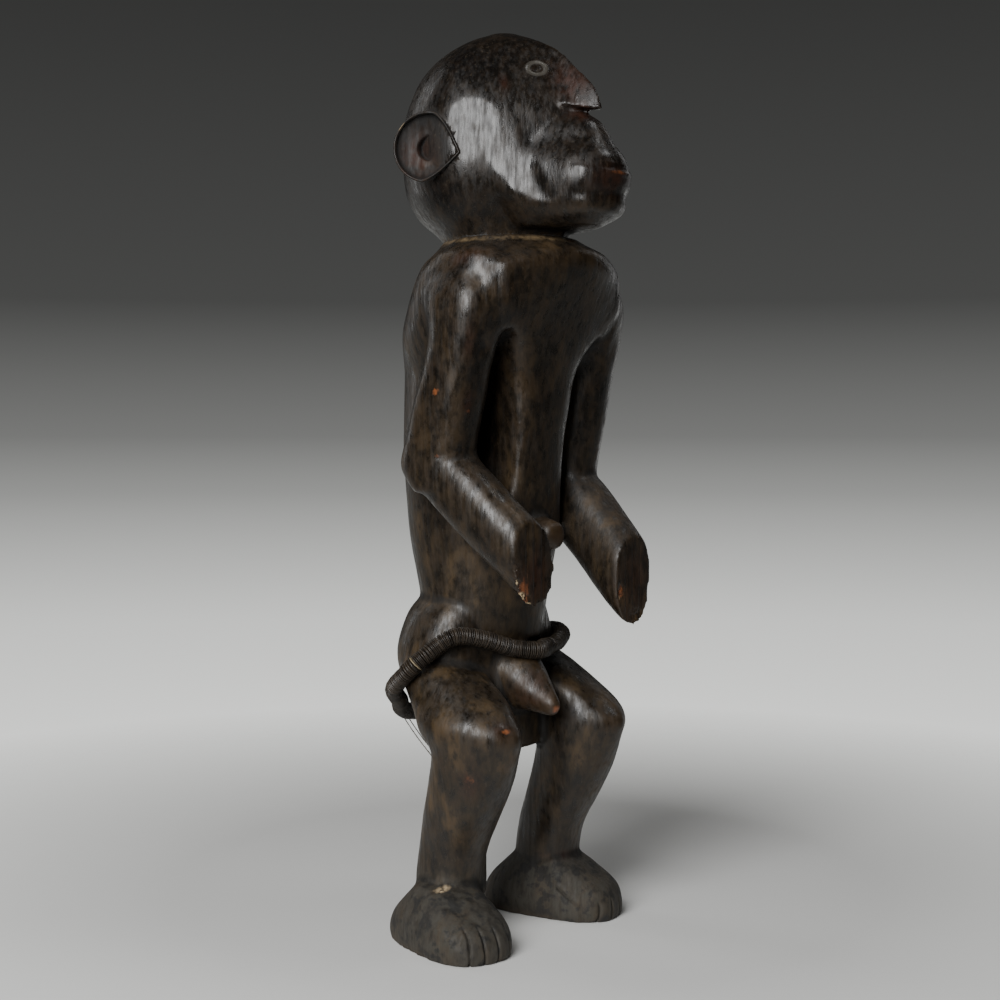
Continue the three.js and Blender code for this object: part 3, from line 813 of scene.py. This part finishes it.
chips = [
    ((-68, -70, 275), (4, 7, 5), 2.4),  # the right hand
    ((-62, -70, 264), (5, 7, 4), 2.2),
    ((-69, -68, 286), (3, 5, 4), 1.4),
    ((47, -70, 262), (3, 7, 5), 1.6),  # the left hand
    ((66, -70, 243), (7, 7, 4), 1.5),
    ((-84, -5, 46), (11, 5, 3), 2.2),  # the right ankle
    ((-93, 27, 610), (5, 5, 4), 1.2),  # the right ear's rim
    ((-91, -9, 413), (2, 2, 2), 0.8),  # the right upper arm
    ((-76, -27, 404), (2, 2, 3), 0.7),
    ((6, -54, 527), (5, 4, 3), 1.0),  # the rim under the head
    ((-66, -56, 166), (3, 3, 2), 0.7),  # the right knee
]
rough = 0.5 + 1.2 * scoops(spots, (3, 3, 3), 17)
broken = spread(spots, chips)
marks = scoops(spots, (13, 13, 26), 7) * 0.32 + scoops(spots, (6, 6, 12), 3) * 0.13
on_ear = near(folded, (84, 8, 593), (20, 34, 34)) * (folded[:, 0] > 74)
calm = 1 - np.clip(0.9 * eye_zone + 1.3 * on_ear, 0, 1)
spots = spots + facing * ((marks - 0.15) * calm - rough * broken)[:, None]
spots[:, 2] = np.maximum(spots[:, 2], 0)
mesh.vertices.foreach_set("co", spots.ravel())
mesh.update()

# Worn ridges, and hollows darkened with painted shade, are told apart by how far the surface stands out
# from its smoothed form.
evened = relaxed(spots, edges, [0.5] * 14)
stand_out = ((spots - evened) * normals_of(mesh)).sum(1)


def keep(mesh, name, values):
    """Stores one value for each point under a name that the material reads."""
    layer = mesh.attributes.new(name, "FLOAT", "POINT")
    layer.data.foreach_set("value", np.ascontiguousarray(values, np.float32))


# Places that handling has worn to orange, that are bare wood, and that glow reddish brown.
rubbed_places = [
    ((-91, -9, 413), 2.6, 1.6),
    ((-75, -27, 399), 2.2, 1.1),
    ((-66, -56, 167), (4, 3, 1.8), 1.3),
    ((66, -57, 160), (3, 3, 2), 1.0),
    ((-1, -48, 174), 3.5, 1.5),
    ((-62, -70, 268), (6, 4, 12), 0.9),
    ((47, -70, 262), (3, 4, 6), 1.0),
    ((-3, -110, 571), (16, 4, 3), 0.9),
    ((6, -55, 527), 3, 1.0),
    ((-8, -41, 429), 1.8, 0.9),
    ((10, -39, 410), 1.8, 0.8),
    ((-88, -8, 366), 2.5, 0.7),
    ((-81, -34, 131), (3, 5, 7), 0.5),
]
pale_places = [
    ((-84, -5, 46), (13, 6, 3), 1.25),
    ((-68, -70, 276), (2.4, 4, 3), 1.2),
    ((-64, -70, 266), (4, 4, 3.4), 1.7),
    ((-58, -70, 260), (4, 4, 1.8), 1.2),
    ((-93, 27, 611), (4, 6, 7), 1.0),
    ((46, -70, 258), (1.5, 3, 4), 0.8),
]
warm_places = [
    ((-83, 21, 580), (12, 14, 14), 0.8),
    ((-7, -66, 642), (8, 18, 18), 1.0),
    ((-8, -80, 617), (12, 10, 6), 0.9),
    ((-76, -28, 510), (12, 10, 6), 0.8),
    ((-7, -32, 188), (14, 20, 14), 0.9),
    ((5, -46, 306), (12, 10, 12), 0.6),
    ((-84, -37, 446), (4, 4, 16), 0.7),
    ((-76, -27, 405), (4, 3, 8), 1.0),
    ((-42, -31, 640), (3, 3, 7), 1.0),
    ((-81, -34, 128), (6, 6, 12), 0.8),
    ((-52, -70, 280), (16, 5, 24), 0.6),
    ((62, -70, 265), (18, 5, 26), 0.6),
    ((-66, -54, 168), (10, 8, 5), 0.9),
    ((-80, 24, 594), (10, 14, 14), 0.5),
    ((-4, -106, 566), (22, 10, 10), 0.7),
    ((45, -10, 49), (22, 12, 3), 1.0),
]
# The rim under the head is rubbed pale, dust gathers low down, and the feet are dry and dull.
from_rim = np.hypot(np.hypot(spots[:, 0] - 1, spots[:, 1] + 0.5) - 54.5, height - 527)
dust = 0.25 + rise(420, 230, height) * 0.55 - 0.25 * rise(540, 560, height)
dust = dust + 0.7 * near(spots, (-80, 24, 576), (14, 16, 9))
dust = dust + 0.4 * near(spots, (0, -50, 518), (60, 30, 12))
at_feet = rise(64, 40, height)
nose_side = near(folded, (7, -66, 638), (12, 22, 28))
left_forearm = near(spots, (56, -34, 310), (24, 44, 46))
keep(mesh, "ridge", stand_out)
keep(mesh, "rub", np.clip(spread(spots, rubbed_places), 0, 1.6))
keep(mesh, "pale", np.clip(spread(spots, pale_places), 0, 1.6))
keep(mesh, "rim", np.exp(-((from_rim / 2.6) ** 2)))
keep(mesh, "warm", np.clip(spread(spots, warm_places), 0, 1))
keep(mesh, "dust", np.clip(dust, 0, 1))
keep(mesh, "dry", at_feet)
keep(mesh, "dull", np.clip(at_feet + 1.6 * on_ear + 0.25 * nose_side + 0.7 * left_forearm, 0, 1))
# painted highlight: a pale band over the cut ring round each eye
keep(mesh, "eye", np.clip(eye_zone * rise(4.6, 5.6, eye_far) * rise(9.2, 8.2, eye_far), 0, 1))

spots = np.clip((spots + CENTRING) * 0.001, *np.array(cad_box))
mesh.vertices.foreach_set("co", spots.ravel())
mesh.polygons.foreach_set("material_index", np.zeros(len(mesh.polygons), np.int32))
mesh.shade_smooth()
mesh.update()


def maths(tree, operation, first, second=0.0):
    """One sum on values."""
    return node(tree, "ShaderNodeMath", {0: first, 1: second}, operation=operation).outputs[0]


def times(tree, first, second):
    """Two values multiplied."""
    return maths(tree, "MULTIPLY", first, second)


def plus(tree, first, second):
    """Two values added."""
    return maths(tree, "ADD", first, second)


def attribute(tree, name):
    """A value kept at each point of the mesh."""
    return node(tree, "ShaderNodeAttribute", attribute_name=name).outputs["Fac"]


patina = new_material("dark handled wood")
tree = patina.node_tree
clouds = grain(tree, 0.06, (1, 1, 1.6), 4)
patches = grain(tree, 0.02, (1, 1, 2.2), 4)
mottle = grain(tree, 0.0065, (1, 1, 1.6), 5)
streaks = grain(tree, 0.0030, (1, 1, 10), 3)
flecks = grain(tree, 0.002, (1, 1, 2), 2)
stands = attribute(tree, "ridge")
# painted shade: the deeper a hollow sinks below its smoothed form, the darker its colour
hollow = span(tree, stands, -0.12, -0.55)
dust = attribute(tree, "dust")
dusty = times(tree, dust, span(tree, patches, 0.32, 0.6, 0.1, 1))
dry = attribute(tree, "dry")
bare = span(tree, plus(tree, attribute(tree, "pale"), times(tree, flecks, 0.2)), 0.6, 1.1)
brown = times(tree, span(tree, dust, 0, 0.25, 0.35, 0.8), span(tree, mottle, 0.46, 0.66))
tan = times(tree, dust, span(tree, patches, 0.52, 0.72, 0, 0.75))
grey_dust = times(tree, dry, span(tree, mottle, 0.35, 0.62, 0.25, 0.95))
smears = times(tree, dry, span(tree, grain(tree, 0.011, (1, 1, 1), 4), 0.52, 0.6))
warm = times(tree, attribute(tree, "warm"), span(tree, mottle, 0.3, 0.65))
wear = span(tree, plus(tree, stands, times(tree, mottle, 0.35)), 0.45, 1.1, 0, 0.35)
rim = times(tree, attribute(tree, "rim"), span(tree, mottle, 0.35, 0.6))
rubs = span(tree, plus(tree, attribute(tree, "rub"), times(tree, flecks, 0.9)), 0.8, 1.5)
black = (0.0045, 0.0037, 0.0034, 1)
colour = blend(tree, span(tree, clouds, 0.38, 0.62), black, (0.012, 0.0086, 0.0058, 1))
layers = [
    (brown, (0.030, 0.0185, 0.0095)),
    (dusty, (0.046, 0.032, 0.0175)),
    (tan, (0.115, 0.07, 0.03)),
    (span(tree, mottle, 0.50, 0.34, 0, 0.7), (0.007, 0.006, 0.005)),  # dark spots
    (span(tree, streaks, 0.55, 0.8, 0, 0.3), (0.006, 0.005, 0.0045)),  # dark pores
    (span(tree, flecks, 0.60, 0.72, 0, 0.45), (0.055, 0.042, 0.028)),  # pale flecks
    (grey_dust, (0.05, 0.046, 0.037)),
    (times(tree, smears, 0.7), (0.010, 0.0105, 0.011)),
    (warm, (0.038, 0.012, 0.006)),
    (wear, (0.06, 0.038, 0.020)),
    (rim, (0.15, 0.105, 0.055)),
    (rubs, (0.26, 0.085, 0.03)),
    (bare, (0.50, 0.38, 0.23)),
    # painted shade, near black, laid into the hollows
    (times(tree, hollow, 0.75), (0.003, 0.0027, 0.0025)),
    # painted highlight, pale grey, on the ring round each eye
    (times(tree, attribute(tree, "eye"), 0.75), (0.085, 0.078, 0.066)),
]
for share, paint in layers:
    colour = blend(tree, share, colour, (*paint, 1))
roughness = span(tree, mottle, 0.3, 0.7, 0.2, 0.42)
roughness = plus(tree, roughness, span(tree, streaks, 0.4, 0.7, -0.05, 0.22))
for part, much in ((dusty, 0.15), (attribute(tree, "dull"), 0.3), (hollow, 0.3), (bare, 0.3)):
    roughness = plus(tree, roughness, times(tree, part, much))
relief = plus(tree, times(tree, streaks, 0.6), times(tree, mottle, 0.5))
relief = plus(tree, relief, times(tree, flecks, 0.25))
bumps = node(tree, "ShaderNodeBump", {"Height": relief, "Strength": 0.5, "Distance": 0.0007}).outputs[0]
surface(tree, {"Base Color": colour, "Roughness": roughness, "Normal": bumps, "Specular IOR Level": 0.5})
mesh.materials.clear()
mesh.materials.append(patina)
carving.modifiers.new("fewer faces", "DECIMATE").ratio = FACES_KEPT
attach(carving, "root")
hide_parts("figure")


# Belt: several hundred thin discs cut from shell and nut, threaded on a fibre string. It is slung round the
# hips, rests on the thigh tops in front and hangs low behind.
BEAD_RADIUS = 7
BELT_STEPS = 120
# The belt's height at even turns: from the back over the right side and the front, and round again.
BELT_HEIGHTS = [171, 165, 165, 175, 199, 229, 228, 221, 218, 217, 217, 222, 222, 200, 184, 175, 171]
BELT_HANG = 15
HIP_MIDDLE = 32
FAR = 200  # outside the figure, where the feeling for its wood starts
CLEARANCE = 0.4
DISC = 1.22  # the room that one disc takes along the string
DISC_SIDES = 14
DISC_PROFILE = np.array([(0.92, -0.5), (1.0, -0.2), (1.0, 0.2), (0.92, 0.5)])  # shares of radius, thickness
PALE_DISC = (-90, 17, 215)  # the place of the one pale disc


def belt_line():
    """The middle line of the belt, at each turn round the hips from the back over the right side.
    At each turn the wood is felt for over the belt's height, and a round section is pushed out to it.
    """
    turns = (2 * np.arange(BELT_STEPS) / BELT_STEPS - 1) * np.pi
    table = [(z, 0, 0, 0, 0, 0, 0, 0, 0) for z in BELT_HEIGHTS]
    z = sections(table, (turns / np.pi + 1) / 2)[:, 0]
    wood = bpy.data.objects["figure"].data
    places = points_of(wood) * 1000 - CENTRING
    tree = BVHTree.FromPolygons(places.tolist(), [tuple(p.vertices) for p in wood.polygons])
    reaches = []
    for turn, level in zip(turns, z):
        hang = BELT_HANG * float(rise(np.pi / 2, 0.75 * np.pi, abs(turn)))
        inward = Vector((-math.sin(turn), math.cos(turn), 0))
        reach = 0.0
        for up_by in np.arange(-BEAD_RADIUS, BEAD_RADIUS + hang + 0.001, 1.0):
            start = Vector((math.sin(turn) * FAR, HIP_MIDDLE - math.cos(turn) * FAR, level + up_by))
            hit = tree.ray_cast(start, inward)
            off = max(0, up_by - hang) if up_by > 0 else up_by
            if hit[0]:
                reach = max(reach, FAR - hit[3] + math.sqrt(max(0, BEAD_RADIUS**2 - off**2)))
        reaches.append(reach)
    reaches = np.array(reaches)
    widest = np.maximum(reaches, np.maximum(np.roll(reaches, 1), np.roll(reaches, -1)))
    even = (widest + np.roll(widest, 1) + np.roll(widest, -1)) / 3 + CLEARANCE
    return np.stack([np.sin(turns) * even, HIP_MIDDLE - np.cos(turns) * even, z], 1)


route = belt_line()
dense = smooth_path(np.vstack([route, route[:1]]), 4000)
travel = np.concatenate([[0], np.cumsum(np.linalg.norm(np.diff(dense, axis=0), axis=1))])
count = int(travel[-1] / DISC)
dice = np.random.default_rng(11)
places = (np.arange(count) + 0.5) * travel[-1] / count
middle = np.stack([np.interp(places, travel, dense[:, k]) for k in range(3)], 1)
onward, back = (
    np.stack([np.interp(places + step, travel, dense[:, k], period=travel[-1]) for k in range(3)], 1)
    for step in (2, -2)
)


def unit(rows):
    """The rows as directions of length 1."""
    return rows / np.linalg.norm(rows, axis=1)[:, None]


# Each disc is one profile turned round its own axis, which leans a little off the belt's line.
axis = unit(unit(onward - back) + dice.normal(0, 0.03, (count, 3)))
first = unit(np.cross(axis, [0, 0, 1.0]))
second = np.cross(axis, first)
radius = BEAD_RADIUS * np.clip(dice.normal(0.965, 0.018, count), 0.9, 0.995)
thick = travel[-1] / count * np.clip(dice.normal(0.86, 0.08, count), 0.65, 0.96)
middle = middle + dice.normal(0, 0.07, (count, 3))

turn = np.linspace(0, 2 * np.pi, DISC_SIDES, endpoint=False)
spokes = first[:, None] * np.cos(turn)[None, :, None] + second[:, None] * np.sin(turn)[None, :, None]
rings = middle[:, None, None] + spokes[:, None] * (radius[:, None] * DISC_PROFILE[:, 0])[:, :, None, None]
rings = rings + axis[:, None, None] * (thick[:, None] * DISC_PROFILE[:, 1])[:, :, None, None]
disc_points = rings.reshape(-1, 3)
corners = len(DISC_PROFILE) * DISC_SIDES
here = np.arange(corners).reshape(-1, DISC_SIDES)
beside_it = np.roll(here, -1, 1)
bands = np.stack([here[:-1], here[1:], beside_it[1:], beside_it[:-1]], -1).reshape(-1, 4)
starts = np.arange(count) * corners
disc_faces = (bands[None] + starts[:, None, None]).reshape(-1, 4).tolist()
disc_faces += (here[0][None] + starts[:, None]).tolist()
disc_faces += (here[-1][::-1][None] + starts[:, None]).tolist()
belt = solid(disc_points, disc_faces, "disc_beads")
belt_mesh = belt.data
belt_mesh.vertices.foreach_set("co", ((disc_points + CENTRING) * 0.001).ravel())
belt_mesh.shade_smooth()
belt_mesh.update()
tone = dice.random(count)
pale = np.zeros(count)
pale[np.argmin(np.linalg.norm(middle - PALE_DISC, axis=1))] = 1
keep(belt_mesh, "tone", np.repeat(tone, corners))
keep(belt_mesh, "pale", np.repeat(pale, corners))

bead_finish = new_material("worn disc beads")
tree = bead_finish.node_tree
fine = grain(tree, 0.002)
broad = grain(tree, 0.012)
colour = blend(tree, attribute(tree, "tone"), (0.014, 0.0105, 0.0075, 1), (0.046, 0.034, 0.023, 1))
colour = blend(tree, span(tree, fine, 0.5, 0.75, 0, 0.5), colour, (0.055, 0.042, 0.03, 1))
colour = blend(tree, span(tree, broad, 0.55, 0.7, 0, 0.5), colour, (0.045, 0.034, 0.023, 1))
colour = blend(tree, times(tree, attribute(tree, "pale"), 0.8), colour, (0.36, 0.29, 0.18, 1))
bumps = node(tree, "ShaderNodeBump", {"Height": fine, "Strength": 0.3, "Distance": 0.0003}).outputs[0]
roughness = span(tree, fine, 0.3, 0.7, 0.3, 0.5)
surface(tree, {"Base Color": colour, "Roughness": roughness, "Normal": bumps})
belt_mesh.materials.append(bead_finish)
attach(belt, "root")
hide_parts("bead_belt")


# Studio: a plain pale floor that fades into a backdrop, pale below and dark above. A large soft lamp stands
# to the left of the camera, a small one hangs above to its right, and two dim strips stand behind.
FLOOR_REACH = 6
floor_mesh = bpy.data.meshes.new("floor")
floor_corners = [(x * FLOOR_REACH, y * FLOOR_REACH, 0) for x, y in ((-1, -1), (1, -1), (1, 1), (-1, 1))]
floor_mesh.from_pydata(floor_corners, [], [(0, 1, 2, 3)])
floor = bpy.data.objects.new("floor", floor_mesh)
scene.collection.objects.link(floor)
paper = new_material("pale paper")
tree = paper.node_tree
place = node(tree, "ShaderNodeTexCoord").outputs["Object"]
from_middle = node(tree, "ShaderNodeVectorMath", {0: place, 1: (0.12, 0.1, 0)}, operation="DISTANCE")
inputs = {"Base Color": (0.85, 0.85, 0.83, 1), "Roughness": 0.75, "Specular IOR Level": 0.2}
inputs["Alpha"] = span(tree, from_middle.outputs["Value"], 0.3, 0.95, 1, 0)
surface(tree, inputs)
floor_mesh.materials.append(paper)


def lamp(name, turn, away, height, wide, tall, power, aim=0.4):
    """A soft rectangular light at a turn round the figure from its front, facing it."""
    data = bpy.data.lights.new(name, "AREA")
    data.shape = "RECTANGLE"
    data.size = wide
    data.size_y = tall
    data.energy = power
    made = bpy.data.objects.new(name, data)
    scene.collection.objects.link(made)
    a = math.radians(turn)
    place = Vector((math.sin(a) * away, -math.cos(a) * away, height))
    made.location = place
    made.rotation_euler = (Vector((0, 0, aim)) - place).to_track_quat("-Z", "Y").to_euler()


lamp("front_lamp", -69, 1.7, 1.2, 1.0, 1.35, 48)
lamp("top_lamp", 42, 0.9, 2.0, 0.5, 0.5, 3)
lamp("left_strip", -170, 1.5, 1.0, 0.4, 1.6, 3)
lamp("right_strip", 95, 1.6, 0.8, 0.2, 1.6, 1.5)

world = bpy.data.worlds.new("studio")
world.use_nodes = True
tree = world.node_tree
direction = node(tree, "ShaderNodeTexCoord").outputs["Generated"]
level = node(tree, "ShaderNodeSeparateXYZ", {0: direction}).outputs["Z"]
ramp = node(tree, "ShaderNodeValToRGB", {"Fac": span(tree, level, -0.17, 0.25)})
shades = [(0.0, 1.1), (0.15, 0.85), (0.24, 0.58), (0.33, 0.33), (0.41, 0.19), (0.6, 0.07), (1.0, 0.042)]
while len(ramp.color_ramp.elements) < len(shades):
    ramp.color_ramp.elements.new(0.5)
for element, (position, shade) in zip(ramp.color_ramp.elements, shades):
    element.position = position
    element.color = (shade * 0.99, shade, shade * 0.97, 1)
# The backdrop is seen at full strength, but it lights the figure mostly from behind.
behind = node(tree, "ShaderNodeVectorMath", {0: direction, 1: tuple(ahead)}, operation="DOT_PRODUCT")
seen = node(tree, "ShaderNodeLightPath").outputs["Is Camera Ray"]
strength = maths(tree, "MAXIMUM", seen, span(tree, behind.outputs["Value"], 0.2, 0.9, 0.07, 0.6))
tree.links.new(ramp.outputs["Color"], tree.nodes["Background"].inputs["Color"])
tree.links.new(strength, tree.nodes["Background"].inputs["Strength"])
scene.world = world
